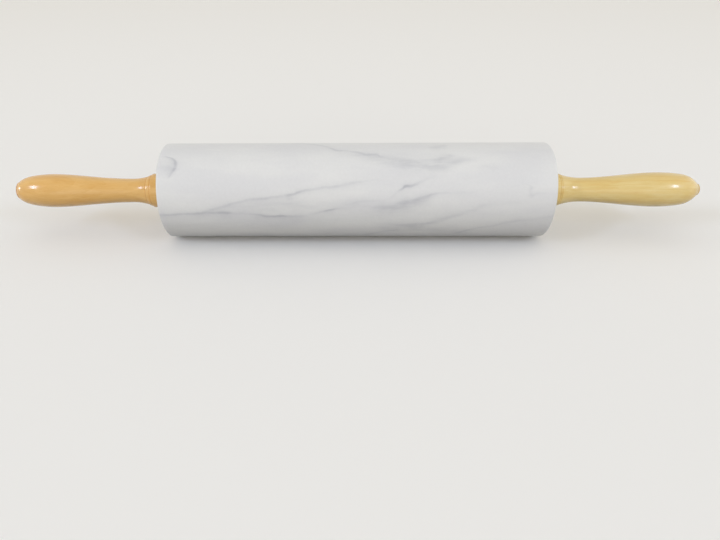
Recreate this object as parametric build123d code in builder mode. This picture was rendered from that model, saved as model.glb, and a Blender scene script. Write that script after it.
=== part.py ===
from build123d import *
import math
import os

# Marble rolling pin. A marble roller turns on a steel rod between two turned wooden handles.
# X runs along the pin and Z is up. The origin is on the axis, at the middle of the roller.
# Everything at an end of the pin is drawn on planes that face outwards from that end.

# Roller
roller_length = 254.0
roller_diameter = 63.0
roller_edge_radius = 1.6
roller_bore_diameter = 12.0

# Steel rod, with a shoulder and a thread at each end
rod_diameter = 8.0
thread_diameter = 6.0
thread_overrun = 2.0
thread_relief_depth = 0.5
thread_relief_width = 1.5
rod_end_chamfer = 0.8

# Nylon bushes, pressed into the ends of the roller
bush_length = 22.0
bush_diameter = 16.0
bush_flange_overhang = 2.0
bush_flange_thickness = 1.2
bush_flange_chamfer = 0.3
bush_lead_chamfer = 0.6
running_clearance = 0.05
end_float = 0.6

# Steel washers, between each bush and its handle
washer_diameter = 16.0
washer_thickness = 1.6
washer_clearance = 0.2
washer_chamfer = 0.25

# Brass inserts, screwed into the handles
insert_diameter = 10.0
insert_length = 17.0
insert_chamfer = 0.4
insert_slot_width = 1.4
insert_slot_depth = 1.6
insert_thread_pitch = 2.5
insert_thread_depth = 0.5

# Handles, from the collar at the roller to the rounded end
collar_diameter = 23.0
collar_step = 0.5
collar_edge_share = 0.75
bead_rise_share = 0.08
groove_width = 0.5
groove_depth = 0.3
groove_drop = 0.25
neck_place = 22.5
shoulder_place_share = 0.5
shoulder_height_share = 0.925
taper_place_share = 0.83
nose_end_slope = -0.95
end_groove_width = 0.5
end_groove_depth = 0.4
end_button_height = 1.0
rod_hole_clearance = 0.25
rod_hole_spare = 4.0

# What the two hand-turned handles don't share
left_collar_width = 8.0
left_bead_place = 8.3
left_bead_width = 2.9
left_bead_start_share = 0.82
left_bead_end_share = 0.515
left_neck_diameter = 16.1
left_swell_share = 0.44
left_grip_place = 77.0
left_grip_diameter = 22.6
left_nose_length = 23.2
left_taper_height_share = 0.765
left_end_diameter = 12.4
right_collar_width = 5.9
right_bead_place = 6.1
right_bead_width = 1.2
right_bead_start_share = 0.85
right_bead_end_share = 0.77
right_neck_diameter = 16.2
right_swell_share = 0.5
right_grip_place = 74.4
right_grip_diameter = 23.2
right_nose_length = 26.3
right_taper_height_share = 0.69
right_end_diameter = 8.6

# Places along the axis, from the middle of the roller outwards
roller_face = roller_length / 2
washer_face = roller_face + bush_flange_thickness + end_float / 2
handle_root = washer_face + washer_thickness
thread_length = insert_length + thread_overrun

# Each end of the pin: its direction along X, and the sizes of its handle
ends = {
    "left": {
        "outward": -1,
        "collar_width": left_collar_width,
        "bead_place": left_bead_place,
        "bead_width": left_bead_width,
        "bead_start_share": left_bead_start_share,
        "bead_end_share": left_bead_end_share,
        "neck_diameter": left_neck_diameter,
        "swell_share": left_swell_share,
        "grip_place": left_grip_place,
        "grip_diameter": left_grip_diameter,
        "nose_length": left_nose_length,
        "taper_height_share": left_taper_height_share,
        "end_diameter": left_end_diameter,
    },
    "right": {
        "outward": 1,
        "collar_width": right_collar_width,
        "bead_place": right_bead_place,
        "bead_width": right_bead_width,
        "bead_start_share": right_bead_start_share,
        "bead_end_share": right_bead_end_share,
        "neck_diameter": right_neck_diameter,
        "swell_share": right_swell_share,
        "grip_place": right_grip_place,
        "grip_diameter": right_grip_diameter,
        "nose_length": right_nose_length,
        "taper_height_share": right_taper_height_share,
        "end_diameter": right_end_diameter,
    },
}


def plane_across(outward, place):
    """The plane across the axis at a distance from the middle, facing outwards."""
    return Plane(origin=(outward * place, 0, 0), x_dir=(0, 1, 0), z_dir=(outward, 0, 0))


def plane_along(outward, place):
    """The upright plane through the axis, with its x axis running outwards from that place."""
    return Plane(origin=(outward * place, 0, 0), x_dir=(outward, 0, 0), z_dir=(0, -outward, 0))


def vee(start, width, depth, drop=0):
    """The corners of a V groove in a turned outline, whose far edge is lower than its start by the drop."""
    floor = (start[0] + width / 2, start[1] - depth)
    return start, floor, (start[0] + width, start[1] - drop)


os.makedirs("parts", exist_ok=True)

# The roller, with a seat for a bush at each end
with BuildPart() as marble_roller:
    with BuildSketch(Plane.YZ):
        Circle(roller_diameter / 2)
    extrude(amount=roller_length / 2, both=True)
    fillet(marble_roller.edges().filter_by(GeomType.CIRCLE), roller_edge_radius)
    with Locations(plane_across(-1, roller_face), plane_across(1, roller_face)):
        CounterBoreHole(roller_bore_diameter / 2, bush_diameter / 2, bush_length, depth=roller_length / 2)
marble_roller.part.label = "marble_roller"
export_step(marble_roller.part, "parts/marble_roller.step")

# The rod, turned down at each end behind a relief groove
with BuildPart() as axle_rod:
    with BuildSketch(Plane.YZ):
        Circle(rod_diameter / 2)
    extrude(amount=handle_root, both=True)
    for end in ends.values():
        outward = end["outward"]
        with BuildSketch(plane_across(outward, handle_root)):
            Circle(thread_diameter / 2 - thread_relief_depth)
        extrude(amount=thread_relief_width)
        with BuildSketch(plane_across(outward, handle_root + thread_relief_width)):
            Circle(thread_diameter / 2)
        extrude(amount=thread_length - thread_relief_width)
    tips = axle_rod.edges().filter_by(GeomType.CIRCLE).sort_by(Axis.X)
    chamfer((tips[0], tips[-1]), rod_end_chamfer)
axle_rod.part.label = "axle_rod"
export_step(axle_rod.part, "parts/axle_rod.step")

for side, end in ends.items():
    outward = end["outward"]

    # The bush fills its seat in the marble, and its flange stands on the roller's face
    with BuildPart() as bush:
        with BuildSketch(plane_across(outward, roller_face - bush_length)):
            Circle(bush_diameter / 2)
        extrude(amount=bush_length)
        chamfer(bush.edges().group_by(Axis.X)[0 if outward > 0 else -1], bush_lead_chamfer)
        with BuildSketch(plane_across(outward, roller_face)):
            Circle(bush_diameter / 2 + bush_flange_overhang)
        extrude(amount=bush_flange_thickness)
        chamfer(bush.edges().group_by(Axis.X)[-1 if outward > 0 else 0], bush_flange_chamfer)
        with Locations(plane_across(outward, roller_face)):
            Hole(rod_diameter / 2 + running_clearance)
    bush.part.label = side + "_bush"
    export_step(bush.part, "parts/" + side + "_bush.step")

    # The washer lies against the handle, and half of the end float is between it and the bush
    with BuildPart() as washer:
        with BuildSketch(plane_across(outward, washer_face)):
            Circle(washer_diameter / 2)
        extrude(amount=washer_thickness)
        chamfer(washer.edges().filter_by(GeomType.CIRCLE), washer_chamfer)
        with Locations(plane_across(outward, washer_face)):
            Hole(rod_diameter / 2 + washer_clearance)
    washer.part.label = side + "_washer"
    export_step(washer.part, "parts/" + side + "_washer.step")

    # The insert is a sleeve with a driving slot and a coarse ridged outside
    with BuildPart() as insert:
        with BuildSketch(plane_across(outward, handle_root)):
            Circle(insert_diameter / 2)
        extrude(amount=insert_length)
        chamfer(insert.edges().filter_by(GeomType.CIRCLE), insert_chamfer)
        with Locations(plane_across(outward, handle_root)):
            Hole(thread_diameter / 2)
        with BuildSketch(plane_across(outward, handle_root)):
            Rectangle(insert_diameter, insert_slot_width)
        extrude(amount=insert_slot_depth, mode=Mode.SUBTRACT)
        ridges = math.floor((insert_length - insert_slot_depth) / insert_thread_pitch) - 1
        for ridge in range(ridges):
            groove_place = insert_slot_depth + insert_thread_pitch * (ridge + 1)
            with BuildSketch(plane_along(outward, handle_root)):
                with BuildLine():
                    Polyline(
                        (groove_place - insert_thread_depth, insert_diameter / 2),
                        (groove_place, insert_diameter / 2 - insert_thread_depth),
                        (groove_place + insert_thread_depth, insert_diameter / 2),
                        close=True,
                    )
                make_face()
            revolve(axis=Axis.X, mode=Mode.SUBTRACT)
    insert.part.label = side + "_insert"
    export_step(insert.part, "parts/" + side + "_insert.step")

    # The handle is turned in one outline, from the collar to the button left where it was parted off
    with BuildPart() as handle:
        collar_width, bead_place, bead_width = end["collar_width"], end["bead_place"], end["bead_width"]
        grip_place, nose_length = end["grip_place"], end["nose_length"]
        collar_radius = collar_diameter / 2
        neck_radius = end["neck_diameter"] / 2
        grip_radius = end["grip_diameter"] / 2
        end_radius = end["end_diameter"] / 2
        flare = collar_radius - neck_radius
        collar_foot = (collar_width, collar_radius - collar_step)
        bead_start = (bead_place, neck_radius + end["bead_start_share"] * flare)
        bead_end = (bead_place + bead_width, neck_radius + end["bead_end_share"] * flare)
        bead_rise = bead_rise_share * (bead_width - groove_width)
        neck = (neck_place, neck_radius)
        grip = (grip_place, grip_radius)
        shoulder = (grip_place + shoulder_place_share * nose_length, shoulder_height_share * grip_radius)
        taper = (grip_place + taper_place_share * nose_length, end["taper_height_share"] * grip_radius)
        end_edge = (grip_place + nose_length, end_radius)
        with BuildSketch(plane_along(outward, handle_root)):
            with BuildLine():
                collar_corners = ((0, 0), (0, collar_radius), (collar_width, collar_radius), collar_foot)
                FilletPolyline(*collar_corners, radius=collar_edge_share * collar_step)
                Line(collar_foot, bead_start)
                first_groove = vee(bead_start, groove_width, groove_depth, drop=groove_drop)
                Polyline(*first_groove)
                bead_rim = first_groove[-1]
                bead_top = ((bead_rim[0] + bead_end[0]) / 2, (bead_rim[1] + bead_end[1]) / 2 + bead_rise)
                ThreePointArc(bead_rim, bead_top, bead_end)
                second_groove = vee(bead_end, groove_width, groove_depth, drop=groove_drop)
                Polyline(*second_groove)
                TangentArc(neck, second_groove[-1], tangent=(-1, 0))
                swell = ((neck[0] + grip[0]) / 2, neck[1] + end["swell_share"] * (grip[1] - neck[1]))
                Spline(neck, swell, grip, tangents=((1, 0), (1, 0)))
                Spline(grip, shoulder, taper, end_edge, tangents=((1, 0), (1, nose_end_slope)))
                end_groove = vee(end_edge, end_groove_width, end_groove_depth, drop=end_groove_depth / 2)
                Polyline(*end_groove)
                button_place, button_radius = end_groove[-1]
                EllipticalCenterArc((button_place, 0), end_button_height, button_radius, 0, arc_size=90)
                Line((button_place + end_button_height, 0), (0, 0))
            make_face()
        revolve(axis=Axis.X)
        with Locations(plane_across(outward, handle_root)):
            rod_hole_radius = thread_diameter / 2 + rod_hole_clearance
            rod_hole_depth = thread_length + rod_hole_spare
            CounterBoreHole(rod_hole_radius, insert_diameter / 2, insert_length, depth=rod_hole_depth)
    handle.part.label = side + "_handle"
    export_step(handle.part, "parts/" + side + "_handle.step")
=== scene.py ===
import math

import bpy
from mathutils import Matrix, Vector


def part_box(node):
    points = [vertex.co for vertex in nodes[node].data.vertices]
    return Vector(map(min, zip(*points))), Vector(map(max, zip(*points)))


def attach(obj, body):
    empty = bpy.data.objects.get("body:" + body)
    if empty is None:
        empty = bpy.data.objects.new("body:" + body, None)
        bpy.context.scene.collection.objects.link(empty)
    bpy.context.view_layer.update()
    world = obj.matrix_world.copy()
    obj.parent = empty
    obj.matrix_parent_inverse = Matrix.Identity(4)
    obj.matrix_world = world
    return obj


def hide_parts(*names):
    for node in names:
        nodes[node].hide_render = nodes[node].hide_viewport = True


# Marble rolling pin: a polished marble roller between two turned, lacquered wooden handles.
# Sizes in the dictionaries are in millimetres, and Blender works in metres.
mm = 0.001
mergeDistance = 0.001 * mm  # points nearer than this become one
tolerance = 0.1 * mm  # for finding faces and edges by their place
endNormal = 0.9  # a face is an end face where its normal has more than this along X
noiseDetail = 3.0

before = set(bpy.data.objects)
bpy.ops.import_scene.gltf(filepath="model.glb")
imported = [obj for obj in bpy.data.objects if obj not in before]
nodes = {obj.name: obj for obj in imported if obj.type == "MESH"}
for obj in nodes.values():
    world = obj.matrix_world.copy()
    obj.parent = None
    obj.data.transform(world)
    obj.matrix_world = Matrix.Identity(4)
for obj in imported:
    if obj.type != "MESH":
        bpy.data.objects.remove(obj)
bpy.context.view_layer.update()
print("frame loaded")


def hexToLinear(code):
    # An sRGB hex colour as the linear values that a shader takes
    shares = [int(code[place : place + 2], 16) / 255 for place in (1, 3, 5)]
    linear = [share / 12.92 if share <= 0.04045 else ((share + 0.055) / 1.055) ** 2.4 for share in shares]
    return (*linear, 1.0)


def addNode(tree, kind, settings, inputs):
    # Adds a node, sets its properties, and links or sets each input that is named. An input given as
    # a node is linked to that node's first output.
    node = tree.nodes.new("ShaderNode" + kind)
    for name, value in settings.items():
        setattr(node, name, value)
    for name, value in inputs.items():
        if isinstance(value, bpy.types.ShaderNode):
            value = value.outputs[0]
        if isinstance(value, bpy.types.NodeSocket):
            tree.links.new(value, node.inputs[name])
        else:
            node.inputs[name].default_value = value
    return node


def newMaterial(name, finish):
    # A material with its shader's own values set, ready for its pattern
    material = bpy.data.materials.new(name)
    material.use_nodes = True
    shader = material.node_tree.nodes["Principled BSDF"]
    for socket, value in finish.items():
        shader.inputs[socket].default_value = value
    place = addNode(material.node_tree, "TexCoord", {}, {}).outputs["Object"]
    return material, material.node_tree, shader, place


def wanderPlace(tree, place, moves):
    # Shifts a pattern's place by noise. Each move is its size and its reach, in mm.
    for size, reach in moves:
        repeats = 1 / (size * mm)
        noise = addNode(tree, "TexNoise", {}, {"Vector": place, "Scale": repeats, "Detail": noiseDetail})
        terms = {0: noise.outputs["Color"], 1: (0.5, 0.5, 0.5)}
        centred = addNode(tree, "VectorMath", {"operation": "SUBTRACT"}, terms)
        place = addNode(
            tree,
            "VectorMath",
            {"operation": "MULTIPLY_ADD"},
            {0: centred, 1: (2 * reach * mm,) * 3, 2: place},
        )
    return place


def drawnNoise(tree, place, pattern):
    # Noise drawn out to a size in mm along each axis. A span of its values, which lie round 0.5, is
    # spread over the result that is wanted.
    span, result = pattern.get("span", (0.3, 0.7)), pattern.get("result", (0.0, 1.0))
    repeats = [1 / (length * mm) for length in pattern["size"]]
    drawn = addNode(tree, "VectorMath", {"operation": "MULTIPLY"}, {0: place, 1: repeats})
    noise = addNode(tree, "TexNoise", {}, {"Vector": drawn, "Scale": 1.0, "Detail": noiseDetail})
    return addNode(
        tree,
        "MapRange",
        {"interpolation_type": "SMOOTHSTEP"},
        {
            "Value": noise,
            "From Min": span[0],
            "From Max": span[1],
            "To Min": result[0],
            "To Max": result[1],
        },
    )


def seenRays(tree):
    # 1 for the camera's own rays and for those that gloss or glass passes on, and 0 for the rest
    rays = addNode(tree, "LightPath", {}, {})
    looks = [rays.outputs[name] for name in ("Is Camera Ray", "Is Glossy Ray", "Is Transmission Ray")]
    either = addNode(tree, "Math", {"operation": "MAXIMUM"}, {0: looks[0], 1: looks[1]})
    return addNode(tree, "Math", {"operation": "MAXIMUM"}, {0: either, 1: looks[2]})


def setRamp(ramp, stops):
    # Gives a colour ramp its stops, as (place, hex colour)
    while len(ramp.elements) < len(stops):
        ramp.elements.new(1.0)
    for element, (place, code) in zip(ramp.elements, stops):
        element.position = place
        element.color = hexToLinear(code)


def setCurve(curve, points):
    # Lays a curve through points given in rising order
    while len(curve.points) < len(points):
        curve.points.new(1.0, 1.0)
    for place, point in zip(curve.points, points):
        place.location = point
        place.handle_type = "AUTO_CLAMPED"


def dressSurface(tree, shader, color, relief, depth, rough=None):
    # Links a material's patterns to its shader. The relief's full height is a depth in mm.
    bump = addNode(tree, "Bump", {}, {"Height": relief, "Distance": depth * mm, "Strength": 1.0})
    tree.links.new(color.outputs[0], shader.inputs["Base Color"])
    tree.links.new(bump.outputs["Normal"], shader.inputs["Normal"])
    if rough:
        tree.links.new(rough.outputs[0], shader.inputs["Roughness"])


def clearSelection():
    if bpy.context.object and bpy.context.object.mode != "OBJECT":
        bpy.ops.object.mode_set(mode="OBJECT")
    bpy.ops.object.select_all(action="DESELECT")


def selectParts(piece, domain, wanted):
    # Selects the faces or edges of a piece, in edit mode, for which the test holds
    bpy.ops.object.mode_set(mode="EDIT")
    bpy.ops.mesh.select_mode(type="FACE" if domain == "faces" else "EDGE")
    bpy.ops.mesh.select_all(action="DESELECT")
    bpy.ops.object.mode_set(mode="OBJECT")
    for part in getattr(piece.data, "polygons" if domain == "faces" else "edges"):
        part.select = wanted(part)
    bpy.ops.object.mode_set(mode="EDIT")


def finishPiece(piece, material, body, node, smoothAngle):
    # Cleans the mesh, gives the piece its material, and puts it in its node's place
    clearSelection()
    bpy.context.view_layer.objects.active = piece
    piece.select_set(True)
    bpy.ops.object.mode_set(mode="EDIT")
    bpy.ops.mesh.select_mode(type="VERT")
    bpy.ops.mesh.select_all(action="SELECT")
    bpy.ops.mesh.remove_doubles(threshold=mergeDistance)
    bpy.ops.mesh.normals_make_consistent(inside=False)
    bpy.ops.object.mode_set(mode="OBJECT")
    bpy.ops.object.transform_apply(location=True, rotation=True, scale=True)
    bpy.ops.object.shade_smooth_by_angle(angle=math.radians(smoothAngle))
    piece.data.materials.clear()
    piece.data.materials.append(material)
    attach(piece, body)
    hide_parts(node)


camera = {
    "place": (-0.00435, -0.34893, 0.16272),  # metres
    "turn": (56.817, 0.416, 0.636),  # degrees
    "lens": 27.8,
    "sensor": 36.0,
    "shift": 0.0253,
    "nearest": 10.0,  # mm
}
bpy.ops.object.camera_add(
    location=camera["place"], rotation=[math.radians(turn) for turn in camera["turn"]]
)
view = bpy.context.object
view.data.lens = camera["lens"]
view.data.sensor_width = camera["sensor"]
view.data.shift_x = camera["shift"]
view.data.clip_start = camera["nearest"] * mm
bpy.context.scene.camera = view
bpy.context.scene.view_settings.view_transform = "Standard"
print("camera placed")

# Each lamp is placed by its direction from the pin: degrees round from the front and degrees up.
# The broad ones light the pin from low in front and from its ends. The two strip lamps make the
# lacquer shine. They lie in a plane from front to back, so a turned handle shows them short and round.
lamps = {
    "broadFront": {"kind": "SUN", "round": 0, "up": 10, "power": 0.47, "tint": "#FFF9F0", "wide": 50},
    "leftSide": {"kind": "SUN", "round": -88, "up": 12, "power": 0.42, "tint": "#FFFFFF", "wide": 10},
    "rightSide": {"kind": "SUN", "round": 93, "up": 12, "power": 0.45, "tint": "#FFFFFF", "wide": 70},
    "leftStrip": {"kind": "AREA", "round": -58, "up": 34.5, "power": 2.7, "tint": "#CFE0FF"},
    "rightStrip": {"kind": "AREA", "round": 50.5, "up": 34.5, "power": 2.25, "tint": "#CFE0FF"},
}
strip = {"distance": 4.0, "width": 0.24, "length": 1.25, "spread": 60}
for name, lamp in lamps.items():
    turn, rise = math.radians(lamp["round"]), math.radians(lamp["up"])
    outward = Vector((math.sin(turn) * math.cos(rise), -math.cos(turn) * math.cos(rise), math.sin(rise)))
    along = Vector((0, outward.z, -outward.y)).normalized()
    bpy.ops.object.light_add(type=lamp["kind"], location=outward * strip["distance"])
    light = bpy.context.object
    light.name = name
    light.rotation_euler = Matrix((along.cross(outward), along, outward)).transposed().to_euler()
    light.data.energy = lamp["power"]
    light.data.color = hexToLinear(lamp["tint"])[:3]
    if lamp["kind"] == "SUN":
        light.data.angle = math.radians(lamp["wide"])
    else:
        light.data.shape = "RECTANGLE"
        light.data.size, light.data.size_y = strip["width"], strip["length"]
        light.data.spread = math.radians(strip["spread"])  # keeps its light off the far floor
        light.visible_camera = False

studio = {
    "ambient": 0.63,
    "skyTint": "#FFFBF2",
    "horizon": 1.38,  # added low all round, as the lit walls of a light tent
    "horizonReach": (0.1, 0.31),  # heights on the sky, from 0 to 1, between which it fades
    "background": 0.86,  # how bright the camera and the reflections see the room
    "floorColor": "#F6F5F3",
    "bounceColor": "#707174",  # the light that the floor throws back at the pin
    "floorSize": 5.6,
    "paperFinish": {"Roughness": 0.9, "Specular IOR Level": 0.2},
}
world = bpy.data.worlds.new("studio")
world.use_nodes = True
bpy.context.scene.world = world
tree = world.node_tree
ambient = tree.nodes["Background"]
ambient.inputs["Color"].default_value = hexToLinear(studio["skyTint"])
sky = addNode(tree, "TexCoord", {}, {})
height = addNode(tree, "SeparateXYZ", {}, {0: sky.outputs["Generated"]})
level = addNode(
    tree,
    "MapRange",
    {"interpolation_type": "SMOOTHSTEP"},
    {
        "Value": height.outputs["Z"],
        "From Min": studio["horizonReach"][0],
        "From Max": studio["horizonReach"][1],
        "To Min": studio["ambient"] + studio["horizon"],
        "To Max": studio["ambient"],
    },
)
tree.links.new(level.outputs["Result"], ambient.inputs["Strength"])
backdrop = addNode(
    tree, "Background", {}, {"Color": hexToLinear(studio["floorColor"]), "Strength": studio["background"]}
)
shown = addNode(tree, "MixShader", {}, {0: seenRays(tree), 1: ambient, 2: backdrop})
tree.links.new(shown.outputs[0], tree.nodes["World Output"].inputs["Surface"])

rollerLow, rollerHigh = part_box("marble_roller")
rollerRadius = (rollerHigh[2] - rollerLow[2]) / 2
halfLength = (rollerHigh[0] - rollerLow[0]) / 2

clearSelection()
bpy.ops.mesh.primitive_plane_add(size=studio["floorSize"], location=(0, 0, rollerLow[2]))
floor = bpy.context.object
floor.name = "floor"
bpy.ops.object.transform_apply(location=True, rotation=True, scale=True)
# The paper looks pale to the camera and in reflections, and throws less light back at the pin
paper, tree, shader, place = newMaterial("matt studio paper", studio["paperFinish"])
tones = {6: hexToLinear(studio["bounceColor"]), 7: hexToLinear(studio["floorColor"])}
toned = addNode(tree, "Mix", {"data_type": "RGBA"}, {0: seenRays(tree), **tones})  # 6 and 7 are colours
tree.links.new(toned.outputs[2], shader.inputs["Base Color"])
floor.data.materials.append(paper)
print("studio lit")

# White marble, ground and polished. The stone is milky and faintly clouded, and its grey veins lie
# in it as thin sheets, so they are soft at the edges, break up along their way, and come out again
# on the end faces. The polish leaves a smooth, slightly waxy surface with wide soft highlights.
marble = {
    "bodyTints": ((0.0, "#E0E0DF"), (1.0, "#DADADB")),
    "veinTints": ((0.0, "#FFFFFF"), (0.35, "#D9DADF"), (1.0, "#97989E")),  # laid over the body
    # Patterns have their sizes in mm along and across the roller. The crystals are drawn larger to show.
    "clouding": {"size": (60.0, 18.0, 18.0), "span": (0.34, 0.66)},
    "crystal": {"size": (1.6, 1.6, 1.6), "result": (0.985, 1.005)},  # 0.5 mm in real stone
    "wander": ((40.0, 1.4), (8.0, 0.7), (1.8, 0.22)),  # size and reach of the veins' moves
    "dash": {"size": (11.0, 3.0, 3.0), "span": (0.32, 0.62), "result": (0.75, 1.15)},  # in a thin vein
    "drift": {"size": (14.0, 3.2, 3.2), "span": (0.3, 0.68), "result": (0.5, 1.25)},  # in a cloud
    "sheen": {"size": (9.0, 6.0, 6.0), "result": (0.3, 0.38)},  # roughness
    "wave": {"size": (7.0, 7.0, 7.0), "span": (0.2, 0.8)},  # left by the polishing
    "waveDepth": 0.004,
    "veinDepth": 8.0,  # how far past the middle of the block a vein still shows
    "curveMargin": 1.0,  # kept clear above and below a vein's course
    "finish": {"IOR": 1.5, "Specular IOR Level": 0.36},
}
# The ways a vein fades to its two sides, from below it to above it
line = ((0.0, 0.0), (0.25, 0.08), (0.4, 0.42), (0.5, 1.0), (0.6, 0.42), (0.75, 0.08), (1.0, 0.0))
washBelow = (
    (0.0, 0.0),
    (0.18, 0.12),
    (0.36, 0.36),
    (0.44, 0.64),
    (0.5, 1.0),
    (0.58, 0.46),
    (0.7, 0.1),
    (1.0, 0.0),
)
washAbove = tuple((1.0 - share, amount) for share, amount in reversed(washBelow))
smear = ((0.0, 0.0), (0.2, 0.2), (0.38, 0.72), (0.5, 1.0), (0.62, 0.72), (0.8, 0.2), (1.0, 0.0))
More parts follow.
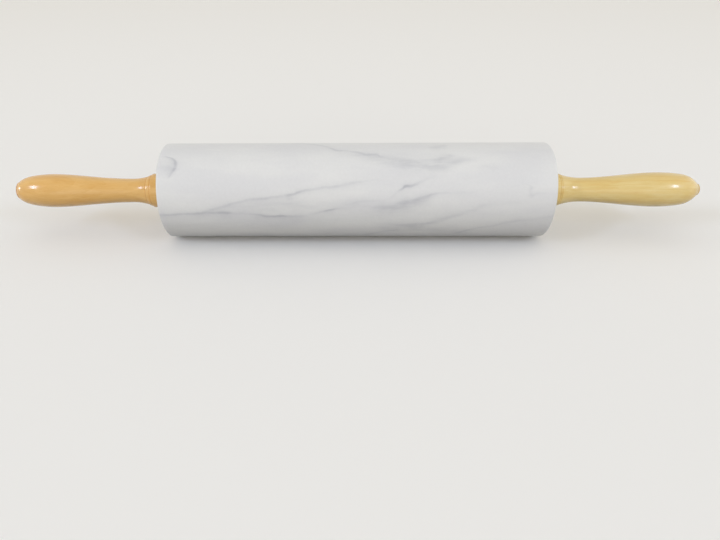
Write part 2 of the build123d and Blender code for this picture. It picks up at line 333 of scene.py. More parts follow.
# A vein's points are (place along X, degrees up from the front, half width, strength), in rising
# order along X, or in degrees where it runs round the roller. Its sheet is drawn on the block from
# the side that it faces, which is given in degrees too.
veins = [
    {
        "name": "long vein along the front",
        "facing": 0,
        "profile": washBelow,
        "points": [
            (-127, -6, 5, 0.2),
            (-116, -4.7, 5, 0.19),
            (-102, -3.2, 6, 0.25),
            (-93, -2.3, 6, 0.19),
            (-84, -2.7, 6, 0.36),
            (-78, -3.9, 6, 0.1),
            (-69, -4.8, 6, 0.12),
            (-62, -5.4, 6, 0.24),
            (-56, -7.4, 5, 0.24),
            (-49, -6.9, 5, 0.3),
            (-43, -6.2, 6, 0.16),
            (-36, -6.3, 7, 0.14),
            (-28, -4, 7, 0.09),
            (-22, -1.2, 6, 0.13),
            (-16.5, 1.2, 5, 0.25),
            (-11, 2.9, 6, 0.1),
            (-2, 4.1, 6, 0.03),
            (8, 5.2, 6, 0.02),
            (17, 5, 7, 0.0),
        ],
    },
    {
        "name": "long vein's right end",
        "facing": 10,
        "profile": washBelow,
        "points": [
            (8, 4.6, 6, 0.0),
            (18, 4.9, 7, 0.09),
            (23, 5.8, 8, 0.08),
            (26.5, 8.7, 9, 0.09),
            (30, 10.6, 10, 0.15),
            (35, 11.6, 10, 0.07),
            (40, 14.9, 9, 0.15),
            (45.6, 17.3, 8, 0.18),
            (48.5, 19.6, 6, 0.14),
            (56, 21.3, 5, 0.08),
            (67, 21.3, 6, 0.05),
            (78, 22, 6, 0.0),
        ],
    },
    {
        "name": "wash below the right end",
        "facing": 8,
        "profile": smear,
        "points": [
            (8, 1, 5, 0.0),
            (19, 2.5, 8, 0.09),
            (28, 6.5, 8, 0.15),
            (37, 11, 7, 0.14),
            (44, 14.5, 6, 0.09),
            (52, 18, 4, 0.0),
        ],
    },
    {
        "name": "faint rise before the right end",
        "facing": 10,
        "profile": washBelow,
        "points": [
            (-14, 4, 5, 0.0),
            (-4, 8, 6, 0.06),
            (4, 11.4, 6, 0.1),
            (11, 12, 6, 0.08),
            (20, 13, 5, 0.0),
        ],
    },
    {
        "name": "branch rising from the long vein",
        "facing": 20,
        "profile": washBelow,
        "points": [
            (-100, -1.5, 4, 0.0),
            (-93, 1.4, 5, 0.12),
            (-86, 4.2, 6, 0.18),
            (-77, 8.6, 6, 0.12),
            (-68, 12.8, 6, 0.15),
            (-61, 14.4, 6, 0.2),
            (-55, 16.3, 6, 0.17),
            (-48, 17.6, 7, 0.15),
            (-41.5, 19.6, 7, 0.3),
            (-38, 21.8, 6, 0.29),
            (-34, 24.2, 6, 0.2),
            (-25.5, 25.6, 6, 0.15),
            (-19, 27.5, 6, 0.17),
            (-12, 28.8, 6, 0.15),
            (-6, 31.3, 6, 0.13),
            (6, 35, 5, 0.07),
            (20, 39, 4, 0.0),
        ],
    },
    {
        "name": "vein over the top",
        "facing": 80,
        "profile": washBelow,
        "points": [
            (-66, 124, 5, 0.0),
            (-44, 106, 5, 0.1),
            (-30, 97, 6, 0.12),
            (-21, 90, 7, 0.13),
            (-16, 84, 8, 0.15),
            (-12, 79, 8, 0.17),
            (-3, 76, 8, 0.14),
            (2, 73.5, 8, 0.15),
            (7.5, 70, 8, 0.17),
            (12, 70.5, 7, 0.2),
            (16, 66, 7, 0.09),
            (23, 61.5, 6, 0.02),
            (32, 59.4, 5, 0.0),
        ],
    },
    {
        "name": "cloud below the vein over the top",
        "facing": 60,
        "profile": smear,
        "points": [
            (-8, 72, 5, 0.0),
            (6, 67, 7, 0.08),
            (20, 61, 9, 0.14),
            (34, 58, 11, 0.16),
            (50, 57, 11, 0.15),
            (62, 59, 8, 0.12),
            (70, 62, 6, 0.07),
            (80, 62, 5, 0.0),
        ],
    },
    {
        "name": "upper streak in the cloud",
        "facing": 60,
        "profile": smear,
        "points": [
            (18, 63, 4, 0.0),
            (30, 60, 5, 0.03),
            (41, 60, 5, 0.04),
            (48, 61.5, 5, 0.06),
            (53, 64, 5, 0.11),
            (58, 66.8, 4, 0.12),
            (64, 69, 3, 0.0),
        ],
    },
    {
        "name": "lower streak in the cloud",
        "facing": 55,
        "profile": smear,
        "points": [
            (10, 66, 4, 0.0),
            (24, 56.5, 5, 0.02),
            (36, 52.7, 5, 0.03),
            (46, 50.8, 5, 0.04),
            (54, 52, 5, 0.06),
            (60, 55.4, 5, 0.06),
            (68, 61, 4, 0.04),
            (76, 64, 3, 0.0),
        ],
    },
    {
        "name": "fleck at the top",
        "facing": 84,
        "profile": smear,
        "points": [(46, 84, 4, 0.0), (52, 86, 6, 0.13), (56, 88, 6, 0.14), (61, 91, 4, 0.0)],
    },
    {
        "name": "short steep vein",
        "facing": 26,
        "profile": line,
        "points": [
            (14, 8, 4, 0.0),
            (22.7, 16.6, 5, 0.04),
            (26, 22, 5, 0.07),
            (29, 26, 5, 0.22),
            (31.5, 29, 5, 0.35),
            (35, 29.3, 5, 0.25),
            (38, 31.4, 5, 0.16),
            (41, 34.6, 5, 0.11),
            (45, 38, 5, 0.06),
            (52, 43, 4, 0.0),
        ],
    },
    {
        "name": "vein low on the right",
        "facing": -5,
        "profile": smear,
        "points": [
            (8, -24, 6, 0.0),
            (18, -23.5, 8, 0.08),
            (29, -23, 8, 0.13),
            (39, -21.5, 7, 0.16),
            (47, -18.6, 6, 0.17),
            (54, -14.5, 5, 0.15),
            (60, -9.8, 5, 0.1),
            (65, -6.4, 4, 0.08),
            (70, -3, 4, 0.06),
            (75, 1.3, 4, 0.07),
            (81, 6.3, 4, 0.08),
            (89, 9, 4, 0.05),
            (98, 9.8, 3.5, 0.04),
            (112, 11, 3, 0.0),
        ],
    },
    # Painted shade: a shade edge low on the right, drawn as a faint vein with darker colour below it.
    {
        "name": "faint vein at the lower right",
        "facing": -20,
        "profile": washBelow,
        "points": [
            (50, -56, 5, 0.0),
            (62, -46, 6, 0.1),
            (70, -36, 7, 0.13),
            (79, -27.5, 7, 0.14),
            (88, -24, 7, 0.13),
            (96, -18.2, 7, 0.11),
            (105, -14.6, 7, 0.1),
            (118, -11.4, 7, 0.08),
            (127, -7, 7, 0.06),
        ],
    },
    {
        "name": "grey patch below the right vein",
        "facing": -30,
        "profile": smear,
        "points": [
            (14, -30, 7, 0.0),
            (34, -30, 9, 0.08),
            (52, -32, 10, 0.1),
            (70, -36, 8, 0.07),
            (90, -40, 7, 0.0),
        ],
    },
    {
        "name": "blue wash between the long vein and its branch",
        "facing": 6,
        "profile": smear,
        "points": [
            (-96, -1, 4, 0.0),
            (-76, 3, 7, 0.06),
            (-58, 5, 9, 0.1),
            (-44, 8, 10, 0.11),
            (-26, 9, 10, 0.07),
            (-8, 12, 9, 0.04),
            (10, 14, 6, 0.0),
        ],
    },
    # Partly a greyer tint in the stone, partly painted shade on the lower front, where less light falls.
    {
        "name": "grey band along the lower front",
        "facing": -14,
        "profile": smear,
        "points": [
            (-127, -24, 9, 0.04),
            (-84, -20, 11, 0.05),
            (-40, -18, 13, 0.06),
            (0, -8, 13, 0.05),
            (40, 0, 12, 0.04),
            (90, -6, 13, 0.02),
            (127, -10, 12, 0.02),
        ],
    },
    {
        "name": "hooked mark at the left end",
        "facing": 55,
        "runsRound": True,
        "profile": washBelow,
        "points": [
            (-119, 37, 5, 0.0),
            (-118, 41, 6, 0.12),
            (-116.6, 46, 7, 0.22),
            (-115.3, 52, 8, 0.28),
            (-115, 58, 8, 0.28),
            (-116.8, 64, 7, 0.24),
            (-120, 67, 6, 0.2),
            (-124, 69, 5, 0.0),
        ],
    },
    {
        "name": "grey fill of the hooked mark",
        "facing": 55,
        "profile": smear,
        "points": [(-127, 54, 9, 0.06), (-123, 54, 9, 0.07), (-119, 53, 8, 0.06), (-114, 52, 5, 0.0)],
    },
    {
        "name": "upright of the mark at the right end",
        "facing": 24,
        "runsRound": True,
        "profile": smear,
        "points": [
            (110.6, 14, 2.2, 0.0),
            (110.3, 19, 2.8, 0.1),
            (109.6, 23, 2.8, 0.11),
            (110.2, 27.6, 2.6, 0.12),
            (107, 31, 2.2, 0.05),
            (103, 33, 2, 0.0),
        ],
    },
    {
        "name": "foot of the mark at the right end",
        "facing": 20,
        "profile": smear,
        "points": [
            (106, 17.6, 2, 0.0),
            (110.6, 18.4, 2.4, 0.09),
            (114, 20.2, 2.2, 0.07),
            (118, 21.2, 2, 0.05),
            (123, 21.5, 1.8, 0.0),
        ],
    },
    {
        "name": "faint patch high on the right",
        "facing": 52,
        "profile": smear,
        "points": [(76, 50, 4, 0.0), (81, 52, 5, 0.05), (86, 52, 5, 0.05), (92, 51, 4, 0.0)],
    },
    {
        "name": "vein under the roller",
        "facing": 300,
        "profile": washBelow,
        "points": [
            (-127, 262, 6, 0.16),
            (-104, 268, 6, 0.24),
            (-82, 279, 6, 0.18),
            (-60, 284, 7, 0.27),
            (-38, 291, 7, 0.4),
            (-16, 302, 6, 0.22),
            (4, 314, 5, 0.16),
            (22, 327, 4, 0.11),
            (39, 335, 3, 0.0),
        ],
    },
    {
        "name": "short vein under the roller",
        "facing": 285,
        "profile": line,
        "points": [
            (8, 268, 4, 0.0),
            (18, 275, 5, 0.26),
            (27, 283, 5, 0.47),
            (36, 287, 5, 0.34),
            (46, 295, 4, 0.0),
        ],
    },
    {
        "name": "cloud under the right end",
        "facing": 275,
        "profile": smear,
        "points": [
            (48, 268, 6, 0.0),
            (66, 272, 10, 0.12),
            (88, 278, 12, 0.14),
            (110, 276, 10, 0.1),
            (127, 272, 8, 0.06),
        ],
    },
    {
        "name": "long vein along the back",
        "facing": 205,
        "profile": washAbove,
        "points": [
            (-127, 184, 5, 0.18),
            (-106, 188, 6, 0.24),
            (-88, 187, 6, 0.42),
            (-70, 192, 6, 0.21),
            (-48, 198, 7, 0.19),
            (-28, 201, 7, 0.37),
            (-8, 208, 7, 0.48),
            (12, 214, 7, 0.24),
            (36, 216, 7, 0.19),
            (58, 223, 6, 0.34),
            (82, 229, 6, 0.21),
            (106, 232, 6, 0.16),
            (127, 238, 5, 0.13),
        ],
    },
    {
        "name": "branch on the back",
        "facing": 165,
        "profile": washBelow,
        "points": [
            (-58, 190, 4, 0.0),
            (-40, 180, 6, 0.16),
            (-22, 172, 6, 0.19),
            (-2, 168, 7, 0.32),
            (14, 160, 7, 0.26),
            (32, 153, 7, 0.4),
            (50, 150, 6, 0.24),
            (74, 140, 6, 0.16),
            (98, 136, 5, 0.1),
            (116, 130, 4, 0.0),
        ],
    },
    {
        "name": "vein coming over from the front",
        "facing": 145,
        "profile": washBelow,
        "points": [
            (-114, 172, 5, 0.0),
            (-100, 160, 6, 0.19),
            (-88, 151, 6, 0.34),
            (-78, 141, 6, 0.24),
            (-66, 128, 6, 0.18),
            (-54, 116, 5, 0.1),
            (-44, 108, 4, 0.0),
        ],
    },
    {
        "name": "cloud on the back",
        "facing": 190,
        "profile": smear,
        "points": [
            (-52, 186, 6, 0.0),
            (-30, 188, 10, 0.11),
            (-6, 190, 12, 0.13),
            (22, 188, 11, 0.11),
            (44, 182, 7, 0.0),
        ],
    },
    {
        "name": "short steep vein on the back",
        "facing": 215,
        "profile": line,
        "points": [
            (68, 190, 4, 0.0),
            (76, 198, 5, 0.34),
            (82, 206, 5, 0.53),
            (90, 209, 5, 0.29),
            (99, 217, 4, 0.0),
        ],
    },
    {
        "name": "pale band low on the back",
        "facing": 240,
        "profile": smear,
        "points": [
            (-127, 226, 9, 0.08),
            (-90, 232, 12, 0.11),
            (-50, 240, 12, 0.08),
            (-10, 248, 10, 0.06),
            (30, 250, 8, 0.0),
        ],
    },
]


def addVein(tree, stone, vein):
    # A vein is a thin sheet through the block. Curves give its middle, its half width and its
    # strength along its way, and its profile from one side to the other.
    facing = math.radians(vein["facing"])
    spots = [
        (place, rollerRadius / mm * math.sin(math.radians(angle) - facing), width, strength)
        for place, angle, width, strength in vein["points"]
    ]
    alongAxis, acrossAxis = (1, 0, 0), (0, math.sin(facing), math.cos(facing))
    if vein.get("runsRound"):
        spots = [(height, place, width, strength) for place, height, width, strength in spots]
        alongAxis, acrossAxis = acrossAxis, alongAxis
    start, end = spots[0][0], spots[-1][0]
    low = min(spot[1] for spot in spots) - marble["curveMargin"]
    high = max(spot[1] for spot in spots) + marble["curveMargin"]
    widest = max(spot[2] for spot in spots)
    along = addNode(tree, "VectorMath", {"operation": "DOT_PRODUCT"}, {0: stone, 1: alongAxis})
    across = addNode(tree, "VectorMath", {"operation": "DOT_PRODUCT"}, {0: stone, 1: acrossAxis})
    depth = addNode(
        tree,
        "VectorMath",
        {"operation": "DOT_PRODUCT"},
        {0: stone, 1: (0, -math.cos(facing), math.sin(facing))},
    )
    share = addNode(
        tree,
        "MapRange",
        {},
        {"Value": along.outputs["Value"], "From Min": start * mm, "From Max": end * mm},
    )
    course = addNode(tree, "RGBCurve", {}, {"Color": share})
    shares = [(spot[0] - start) / (end - start) for spot in spots]
    heights = [(spot[1] - low) / (high - low) for spot in spots]
    widths = [spot[2] / widest for spot in spots]
    strengths = [spot[3] for spot in spots]
    for curve, values in zip(course.mapping.curves, (heights, widths, strengths)):
        setCurve(curve, list(zip(shares, values)))
    course.mapping.update()
    parts = addNode(tree, "SeparateColor", {}, {"Color": course})
    middle = addNode(
        tree,
        "MapRange",
        {},
        {"Value": parts.outputs["Red"], "To Min": low * mm, "To Max": high * mm},
    )
    offset = addNode(tree, "Math", {"operation": "SUBTRACT"}, {0: across.outputs["Value"], 1: middle})
    breadth = 2 * widest * mm
    reach = addNode(tree, "Math", {"operation": "MULTIPLY"}, {0: parts.outputs["Green"], 1: breadth})
    side = addNode(tree, "Math", {"operation": "DIVIDE"}, {0: offset, 1: reach})
    side = addNode(tree, "Math", {"operation": "ADD", "use_clamp": True}, {0: side, 1: 0.5})
    profile = addNode(tree, "FloatCurve", {"label": vein["name"]}, {"Value": side})
    setCurve(profile.mapping.curves[0], vein["profile"])
    profile.mapping.update()
    near = addNode(
        tree,
        "MapRange",
        {"interpolation_type": "SMOOTHSTEP"},
        {
            "Value": depth.outputs["Value"],
            "From Min": -marble["veinDepth"] * mm,
            "From Max": marble["veinDepth"] * mm,
        },
    )
    amount = addNode(tree, "Math", {"operation": "MULTIPLY"}, {0: profile, 1: parts.outputs["Blue"]})
    return addNode(tree, "Math", {"operation": "MULTIPLY"}, {0: amount, 1: near})


marbleMaterial, tree, shader, place = newMaterial("polished white marble", marble["finish"])
stone = wanderPlace(tree, place, marble["wander"])
dashes = drawnNoise(tree, stone, marble["dash"])
drifts = drawnNoise(tree, stone, marble["drift"])
veined = 0.0
for vein in veins:
    strength = addVein(tree, stone, vein)
    breaks = drifts if vein["profile"] is smear else dashes
    veined = addNode(
        tree, "Math", {"operation": "MULTIPLY_ADD", "use_clamp": True}, {0: strength, 1: breaks, 2: veined}
    )
clouded = addNode(tree, "ValToRGB", {}, {"Fac": drawnNoise(tree, stone, marble["clouding"])})
setRamp(clouded.color_ramp, marble["bodyTints"])
tint = addNode(tree, "ValToRGB", {}, {"Fac": veined})
setRamp(tint.color_ramp, marble["veinTints"])
mixed = addNode(
    tree,
    "Mix",
    {"data_type": "RGBA", "blend_type": "MULTIPLY"},
    {0: 1.0, 6: clouded, 7: tint},
)
crystal = drawnNoise(tree, place, marble["crystal"])
colored = addNode(tree, "VectorMath", {"operation": "SCALE"}, {0: mixed.outputs[2], "Scale": crystal})
sheen = drawnNoise(tree, place, marble["sheen"])
wave = drawnNoise(tree, place, marble["wave"])
dressSurface(tree, shader, colored, wave, marble["waveDepth"], sheen)
print("marble mixed")

roller = {
    "edgeRadius": 1.6,
    "edgeSteps": 8,
    "boreDiameter": 12.0,
    "seatDiameter": 16.0,
    "seatDepth": 22.0,
    "sides": 160,
    "smoothAngle": 35,
}
clearSelection()
bpy.ops.mesh.primitive_cylinder_add(
    vertices=roller["sides"], radius=rollerRadius, depth=2 * halfLength, rotation=(0, math.pi / 2, 0)
)
rollerPiece = bpy.context.object
rollerPiece.name = "polishedRoller"
bpy.ops.object.transform_apply(rotation=True)
for outward in (-1, 1):  # the seat of a bush, sunk into each end
    selectParts(rollerPiece, "faces", lambda face: face.normal.x * outward > endNormal)
    bpy.ops.mesh.inset(thickness=rollerRadius - roller["seatDiameter"] / 2 * mm)
    bpy.ops.mesh.extrude_region_move(
        TRANSFORM_OT_translate={"value": (-outward * roller["seatDepth"] * mm, 0, 0)}
    )
    bpy.ops.mesh.inset(thickness=(roller["seatDiameter"] - roller["boreDiameter"]) / 2 * mm)
boreFloor = halfLength - roller["seatDepth"] * mm
selectParts(
    rollerPiece,
    "faces",
    lambda face: len(face.vertices) > 4 and abs(abs(face.center.x) - boreFloor) < tolerance,
)
bpy.ops.mesh.bridge_edge_loops()


def onRim(edge):
    start, end = [rollerPiece.data.vertices[corner].co for corner in edge.vertices]
    atEnd = abs(start.x + end.x) / 2 > halfLength - tolerance
    return atEnd and min(math.hypot(start.y, start.z), math.hypot(end.y, end.z)) > rollerRadius - tolerance


selectParts(rollerPiece, "edges", onRim)
bpy.ops.mesh.bevel(offset=roller["edgeRadius"] * mm, segments=roller["edgeSteps"], profile=0.5)
finishPiece(rollerPiece, marbleMaterial, "roller", "marble_roller", roller["smoothAngle"])
print("roller made")

handles = {
    "collarDiameter": 23.0,
    "collarStep": 0.5,
    "collarEdge": 0.375,
    "beadRiseShare": 0.08,  # of the bead's width
    "grooveWidth": 0.5,
    "grooveDepth": 0.3,
    "grooveDrop": 0.25,
    "neckPlace": 22.5,
    "shoulderPlaceShare": 0.5,  # of the nose, from the grip's widest place to the end
    "shoulderHeightShare": 0.925,  # of the grip's radius
    "taperPlaceShare": 0.83,
    "noseEndSlope": -0.95,
    "endGrooveWidth": 0.5,
    "endGrooveDepth": 0.4,
    "buttonHeight": 1.0,
    "insertDiameter": 10.0,
    "insertLength": 17.0,
    "rodHoleDiameter": 6.5,
    "rodHoleDepth": 23.0,
    "edgeSteps": 4,
    "beadSteps": 8,
    "coveSteps": 14,
    "swellSteps": 14,
    "noseSteps": 10,
    "buttonSteps": 8,
    "sides": 128,
    "smoothAngle": 40,
}
# The two handles are turned by hand to one pattern, so they differ a little
handleEnds = {
    "left": {
        "outward": -1,
        "collarWidth": 8.0,
        "beadPlace": 8.3,
        "beadWidth": 2.9,
        "beadStartShare": 0.82,  # of the flare from the neck to the collar
        "beadEndShare": 0.515,
        "neckDiameter": 16.1,
        "swellShare": 0.44,
        "gripPlace": 77.0,
        "gripDiameter": 22.6,
        "noseLength": 23.2,
        "taperHeightShare": 0.765,
        "endDiameter": 12.4,
    },
    "right": {
        "outward": 1,
        "collarWidth": 5.9,
        "beadPlace": 6.1,
        "beadWidth": 1.2,
        "beadStartShare": 0.85,
        "beadEndShare": 0.77,
        "neckDiameter": 16.2,
        "swellShare": 0.5,
        "gripPlace": 74.4,
        "gripDiameter": 23.2,
        "noseLength": 26.3,
        "taperHeightShare": 0.69,
        "endDiameter": 8.6,
    },
}


def arcAround(centre, reach, start, end, steps):
    # Points on a quarter of an ellipse or less, its angles in degrees and its reach along and across
    turns = [math.radians(start + (end - start) * step / steps) for step in range(steps + 1)]
    return [
        (centre[0] + reach[0] * math.cos(turn), centre[1] + reach[1] * math.sin(turn)) for turn in turns
    ]


def smoothRun(points, startSlope, endSlope, steps, passes=40):
    # A curve through the points that bends without a kink, as even steps between each two of them
    spans = [after[0] - before[0] for before, after in zip(points, points[1:])]
    rises = [(after[1] - before[1]) / span for before, after, span in zip(points, points[1:], spans)]
    slopes = [startSlope] + [0.0] * (len(points) - 2) + [endSlope]
    for _ in range(passes):  # each pass brings the inner slopes nearer to an even bend
        for inner in range(1, len(points) - 1):
            before, after = spans[inner - 1], spans[inner]
            wanted = 3 * (rises[inner - 1] * after + rises[inner] * before)
            slopes[inner] = (wanted - slopes[inner - 1] * after - slopes[inner + 1] * before) / (
                2 * (before + after)
            )
    run = []
    for number, span in enumerate(spans):
        for step in range(steps):
            share = step / steps
            run.append(
                (
                    points[number][0] + share * span,
                    (1 + 2 * share) * (1 - share) ** 2 * points[number][1]
                    + share**2 * (3 - 2 * share) * points[number + 1][1]
                    + span * share * (1 - share) ** 2 * slopes[number]
                    - span * share**2 * (1 - share) * slopes[number + 1],
                )
            )
    return run + [points[-1]]


def turnedOutline(sizes):
    # The outline from the hole's floor round the collar to the end, as (place from the root, radius)
    collar, neck, grip = sizes["collarDiameter"] / 2, sizes["neckDiameter"] / 2, sizes["gripDiameter"] / 2
    edge, step, width = sizes["collarEdge"], sizes["collarStep"], sizes["grooveWidth"]
    depth, drop = sizes["grooveDepth"], sizes["grooveDrop"]
    end, flare = sizes["endDiameter"] / 2, collar - neck
    outline = [
        (sizes["rodHoleDepth"], 0.0),
        (sizes["rodHoleDepth"], sizes["rodHoleDiameter"] / 2),
        (sizes["insertLength"], sizes["rodHoleDiameter"] / 2),
        (sizes["insertLength"], sizes["insertDiameter"] / 2),
        (0.0, sizes["insertDiameter"] / 2),
    ]
    outline += arcAround((edge, collar - edge), (edge, edge), 180, 90, sizes["edgeSteps"])
    collarEnd = (sizes["collarWidth"] - edge, collar - edge)
    outline += arcAround(collarEnd, (edge, edge), 90, 0, sizes["edgeSteps"])
    outline.append((sizes["collarWidth"], collar - step))
    beadStart = (sizes["beadPlace"], neck + sizes["beadStartShare"] * flare)
    beadEnd = (sizes["beadPlace"] + sizes["beadWidth"], neck + sizes["beadEndShare"] * flare)
    rim = (beadStart[0] + width, beadStart[1] - drop)
    outline += [beadStart, (beadStart[0] + width / 2, beadStart[1] - depth)]
    beadRise = sizes["beadRiseShare"] * (sizes["beadWidth"] - width)
    for number in range(sizes["beadSteps"] + 1):
        share = number / sizes["beadSteps"]
        rise = 4 * beadRise * share * (1 - share)
        outline.append(
            (rim[0] + share * (beadEnd[0] - rim[0]), rim[1] + share * (beadEnd[1] - rim[1]) + rise)
        )
    outline.append((beadEnd[0] + width / 2, beadEnd[1] - depth))
    coveStart = (beadEnd[0] + width, beadEnd[1] - drop)
    coveLength, coveDrop = sizes["neckPlace"] - coveStart[0], coveStart[1] - neck
    coveRadius = (coveLength**2 + coveDrop**2) / (2 * coveDrop)
    for number in range(sizes["coveSteps"]):
        left = coveLength * (1 - number / sizes["coveSteps"])
        outline.append((sizes["neckPlace"] - left, neck + coveRadius - math.sqrt(coveRadius**2 - left**2)))
    swell = (
        (sizes["neckPlace"] + sizes["gripPlace"]) / 2,
        neck + sizes["swellShare"] * (grip - neck),
    )
    swelling = [(sizes["neckPlace"], neck), swell, (sizes["gripPlace"], grip)]
    outline += smoothRun(swelling, 0.0, 0.0, sizes["swellSteps"])[:-1]
    nose = [
        (sizes["gripPlace"], grip),
        (
            sizes["gripPlace"] + sizes["shoulderPlaceShare"] * sizes["noseLength"],
            sizes["shoulderHeightShare"] * grip,
        ),
        (
            sizes["gripPlace"] + sizes["taperPlaceShare"] * sizes["noseLength"],
            sizes["taperHeightShare"] * grip,
        ),
        (sizes["gripPlace"] + sizes["noseLength"], end),
    ]
    outline += smoothRun(nose, 0.0, sizes["noseEndSlope"], sizes["noseSteps"])
    place = nose[-1][0]
    outline.append((place + sizes["endGrooveWidth"] / 2, end - sizes["endGrooveDepth"]))
    place += sizes["endGrooveWidth"]
    button = (sizes["buttonHeight"], end - sizes["endGrooveDepth"] / 2)
    outline += arcAround((place, 0), button, 90, 0, sizes["buttonSteps"])
    return outline


def turnOnLathe(name, outline, sides):
    # Draws the outline point by point and spins it round the axis
    clearSelection()
    bpy.ops.mesh.primitive_plane_add(size=mm)
    piece = bpy.context.object
    piece.name = name
    bpy.ops.object.mode_set(mode="EDIT")
    bpy.ops.mesh.select_mode(type="VERT")
    bpy.ops.mesh.select_all(action="SELECT")
    bpy.ops.mesh.merge(type="CENTER")
    last = Vector((0, 0, 0))
    for number, (place, radius) in enumerate(outline):
        point = Vector((place, 0, radius))
        if number == 0:
            bpy.ops.transform.translate(value=point)
        else:
            bpy.ops.mesh.extrude_region_move(TRANSFORM_OT_translate={"value": point - last})
        last = point
    bpy.ops.mesh.select_all(action="SELECT")
    bpy.ops.mesh.spin(steps=sides, angle=math.tau, center=(0, 0, 0), axis=(1, 0, 0))
    bpy.ops.object.mode_set(mode="OBJECT")
    return piece


# Beech, turned on a lathe, sanded and dipped in clear lacquer. The growth rings run as soft bands
# along the handle, with fine fibres and short darker flecks on them, and open into arcs on the nose.
# The lacquer lies thick and glossy over it and fills the pores. The grooves are painted darker,
# partly for lacquer pooled in them and partly as painted shade in the grooves.
wood = {
    "ringSpacing": 2.6,
    "ringBend": {"Distortion": 0.6, "Detail": 2.0, "Detail Scale": 1.2},
    "ringWander": ((60.0, 3.0), (14.0, 0.8)),
    "fibre": {"size": (34.0, 0.7, 0.7)},
    "mottle": {"size": (30.0, 6.0, 6.0), "span": (0.34, 0.68)},
    "fleck": {"size": (3.4, 0.5, 0.5), "span": (0.62, 0.72), "result": (1.0, 0.9)},
    "turning": {"size": (0.9, 9.0, 9.0)},  # faint rings left by the lathe tool
    "toneStart": 0.08,
    "toneWeights": {"rings": 0.21, "fibres": 0.23, "mottle": 0.4},
    "turningWeight": 0.3,  # beside the fibres, in the relief
    # painted shade in the grooves, with pooled lacquer, is strongest at this value
    "grooveShadeAndPooling": 0.73,  # 1 leaves the wood as it is
    "grooveBlur": 0.5,
    "grainDepth": 0.02,
    "finish": {
        "Roughness": 0.45,
        "Specular IOR Level": 0.2,
        "Coat Weight": 1.0,
        "Coat Roughness": 0.15,
        "Coat IOR": 1.5,
    },
}
woodTones = {
    "left": {
        "name": "lacquered beech, honey",
        "pith": (17.0, -26.0),
        "tones": ("#D9A453", "#E0B063", "#E8BC74"),
    },
    "right": {
        "name": "lacquered beech, straw",
        "pith": (-21.0, -19.0),
        "tones": ("#DDB869", "#E3C780", "#EAD397"),
    },
}


def mixWood(tones, ends, root):
    # The wood of one handle, whose growth rings lie round its own pith beside the handle
    material, tree, shader, place = newMaterial(tones["name"], wood["finish"])
    timber = wanderPlace(tree, place, wood["ringWander"])
    pith = (0, tones["pith"][0] * mm, tones["pith"][1] * mm)
    centred = addNode(tree, "VectorMath", {"operation": "SUBTRACT"}, {0: timber, 1: pith})
    ringScale = math.tau / 20 / (wood["ringSpacing"] * mm)  # the texture makes 20 / tau rings in a unit
    rings = addNode(
        tree,
        "TexWave",
        {"wave_type": "RINGS", "rings_direction": "X", "wave_profile": "SAW"},
        {"Vector": centred, "Scale": ringScale, **wood["ringBend"]},
    )
    patterns = {
        "rings": rings.outputs["Fac"],
        "fibres": drawnNoise(tree, timber, wood["fibre"]),
        "mottle": drawnNoise(tree, place, wood["mottle"]),
    }
    tone = wood["toneStart"]
    for name, weight in wood["toneWeights"].items():
        terms = {0: patterns[name], 1: weight, 2: tone}
        tone = addNode(tree, "Math", {"operation": "MULTIPLY_ADD"}, terms)
    tinted = addNode(tree, "ValToRGB", {}, {"Fac": tone})
    setRamp(tinted.color_ramp, tuple(zip((0.0, 0.5, 1.0), tones["tones"])))
    shade = drawnNoise(tree, timber, wood["fleck"])
    # The three grooves are painted darker, partly for pooled lacquer and partly as painted shade. Their
    # places are measured along X from the middle.
    along = addNode(tree, "SeparateXYZ", {}, {0: place})
    reach = addNode(tree, "Math", {"operation": "ABSOLUTE"}, {0: along.outputs["X"]})
    grooves = (
        ends["beadPlace"] + handles["grooveWidth"] / 2,
        ends["beadPlace"] + ends["beadWidth"] + handles["grooveWidth"] / 2,
        ends["gripPlace"] + ends["noseLength"] + handles["endGrooveWidth"] / 2,
    )
    for groove in grooves:
        offset = addNode(tree, "Math", {"operation": "SUBTRACT"}, {0: reach, 1: root + groove * mm})
        away = addNode(tree, "Math", {"operation": "ABSOLUTE"}, {0: offset})
        darker = addNode(
            tree,
            "MapRange",
            {"interpolation_type": "SMOOTHSTEP"},
            {
                "Value": away,
                "From Max": wood["grooveBlur"] * mm,
                "To Min": wood["grooveShadeAndPooling"],
                "To Max": 1.0,
            },
        )
        shade = addNode(tree, "Math", {"operation": "MULTIPLY"}, {0: shade, 1: darker})
    # A gamma above 1 makes the darker wood richer in colour too
    deeper = addNode(tree, "Math", {"operation": "DIVIDE"}, {0: 1.0, 1: shade})
    colored = addNode(tree, "Gamma", {}, {"Color": tinted, "Gamma": deeper})
    turning = drawnNoise(tree, place, wood["turning"])
    terms = {0: turning, 1: wood["turningWeight"], 2: patterns["fibres"]}
    relief = addNode(tree, "Math", {"operation": "MULTIPLY_ADD"}, terms)
    dressSurface(tree, shader, colored, relief, wood["grainDepth"])
    return material


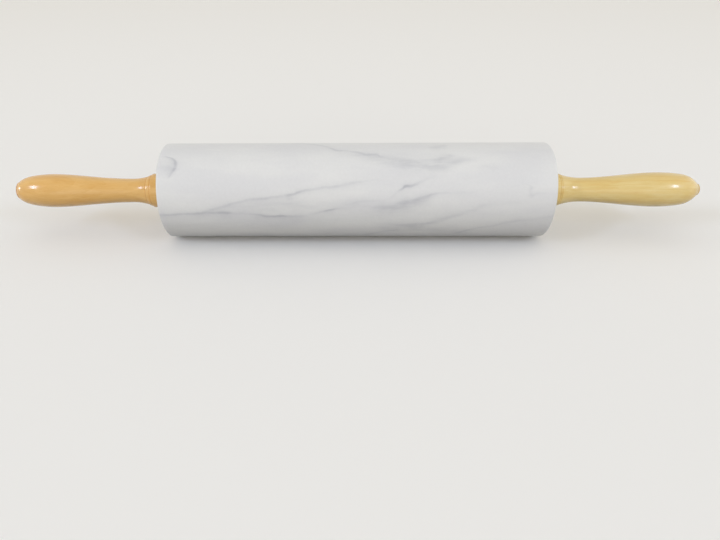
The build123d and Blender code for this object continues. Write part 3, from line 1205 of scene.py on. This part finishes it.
for side, ends in handleEnds.items():
    low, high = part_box(side + "_handle")
    root = min(abs(low[0]), abs(high[0]))
    outline = [
        (ends["outward"] * (root + place * mm), radius * mm)
        for place, radius in turnedOutline({**handles, **ends})
    ]
    piece = turnOnLathe(side + "Grip", outline, handles["sides"])
    woodMaterial = mixWood(woodTones[side], ends, root)
    finishPiece(
        piece, woodMaterial, "handle_assembly", side + "_handle", handles["smoothAngle"]
    )
    print(side + " handle turned")

# The pieces inside keep the frame's shapes and get their own finishes. The patterns of the rod and
# the inserts are drawn out round the axis, as a lathe or a drawing die leaves it.
innerFinishes = {
    "groundSteel": {
        "name": "ground steel rod",  # bright, with fine grinding rings that stretch its reflections
        "nodes": ("axle_rod",),
        "tones": ("#B4B6B8", "#C9CACB"),
        "grain": (0.5, 6.0, 6.0),
        "roughness": (0.2, 0.34),
        "finish": {"Metallic": 1.0},
    },
    "zincPlate": {
        "name": "zinc-plated steel washer",  # pale blue-grey, with a soft uneven sheen from the bath
        "nodes": ("left_washer", "right_washer"),
        "tones": ("#BFC4CA", "#D2D5D6"),
        "grain": (1.2, 1.2, 1.2),
        "roughness": (0.3, 0.46),
        "finish": {"Metallic": 1.0},
    },
    "mouldedNylon": {
        "name": "moulded white nylon",  # milky and dull, with a faint flow of the plastic
        "nodes": ("left_bush", "right_bush"),
        "tones": ("#E4E1D6", "#EDEBE2"),
        "grain": (4.0, 4.0, 4.0),
        "roughness": (0.42, 0.55),
        "finish": {"IOR": 1.53},
    },
    "machinedBrass": {
        "name": "machined brass insert",  # warm yellow, with turning rings
        "nodes": ("left_insert", "right_insert"),
        "tones": ("#C79F4C", "#DDB968"),
        "grain": (0.4, 5.0, 5.0),
        "roughness": (0.22, 0.38),
        "finish": {"Metallic": 1.0},
    },
}
innerDepth = 0.006  # of the marks on all of them
for inner in innerFinishes.values():
    material, tree, shader, place = newMaterial(inner["name"], inner["finish"])
    grain = drawnNoise(tree, place, {"size": inner["grain"]})
    toned = addNode(tree, "ValToRGB", {}, {"Fac": grain})
    setRamp(toned.color_ramp, tuple(zip((0.0, 1.0), inner["tones"])))
    sheen = {"size": [2 * length for length in inner["grain"]], "result": inner["roughness"]}
    dressSurface(tree, shader, toned, grain, innerDepth, drawnNoise(tree, place, sheen))
    for name in inner["nodes"]:
        for materialSlot in nodes[name].material_slots:
            materialSlot.material = material
print("inner pieces finished")
